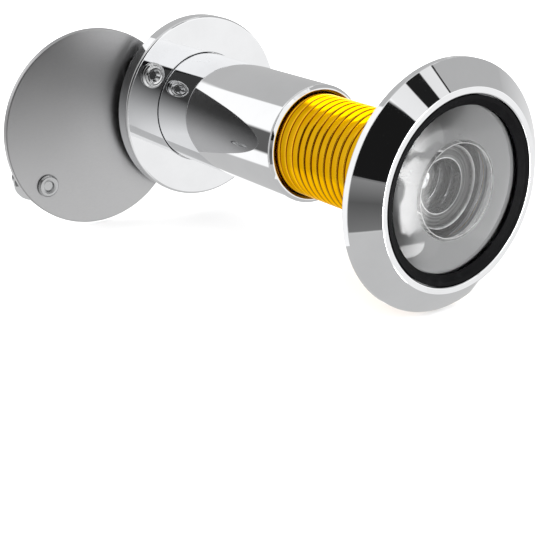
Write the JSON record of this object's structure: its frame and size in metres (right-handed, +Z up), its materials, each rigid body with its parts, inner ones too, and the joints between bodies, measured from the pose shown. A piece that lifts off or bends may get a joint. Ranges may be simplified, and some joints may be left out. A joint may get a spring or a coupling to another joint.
{
  "type": "door viewer",
  "caption": "Wide-angle door viewer: coned bezel and domed lens on a threaded barrel, screwed into an inner sleeve with a round flange and a swing-away disc cover.",
  "frame": {"origin": "on the barrel's axis, in the plane of the bezel's back face, where it rests on the door's outer face", "axes": "+Y along the barrel from outdoors into the room, +Z up, +X to the right as seen from outdoors"},
  "size_m": [0.043, 0.0596, 0.029],
  "materials": {
    "polished_chrome": "mirror polished chrome plate",
    "satin_steel": "satin nickel plate",
    "yellow_brass": "bright machined brass",
    "black_rubber": "matt black rubber",
    "lens_glass": "clear polished lens glass",
    "blackened_metal": "black anodised",
    "spring_steel": "bright spring steel"
  },
  "bodies": {
    "inner_unit": {"inner_sleeve": "polished_chrome", "inner_flange": "polished_chrome", "eyepiece_lens": "lens_glass", "eyepiece_retaining_ring": "blackened_metal", "pivot_rivet": "polished_chrome", "pivot_wave_washer": "spring_steel", "pivot_flat_washer": "spring_steel"},
    "lens_carriage": {"lens_gasket": "black_rubber", "objective_lens": "lens_glass", "second_lens": "lens_glass", "lens_spacer_front": "blackened_metal", "third_lens": "lens_glass", "lens_spacer_rear": "blackened_metal", "baffle_ring": "blackened_metal"},
    "outer_unit": {"front_bezel": "polished_chrome", "threaded_barrel": "yellow_brass", "front_retaining_ring": "satin_steel"},
    "cover": {"cover_disc": "satin_steel", "knob_rivet": "polished_chrome", "cover_knob": "polished_chrome"}
  },
  "joints": [
    {"name": "barrel_advance", "type": "slide", "parent": "inner_unit", "child": "lens_carriage", "axis": [0, -1, 0], "range_m": [-0.01305, 0.00405]},
    {"name": "barrel_turn", "type": "hinge", "parent": "lens_carriage", "child": "outer_unit", "pos_m": [0, 0, 0], "axis": [0, -1, 0], "range_deg": [-3900, 1200]},
    {"name": "cover_swing", "type": "hinge", "parent": "inner_unit", "child": "cover", "pos_m": [-0.00813, 0.05045, 0.00547], "axis": [0, -1, 0], "continuous": true}
  ],
  "couplings": [
    {"joint": "barrel_advance", "follows": "barrel_turn", "m_per_rad": 0.00019099}
  ]
}
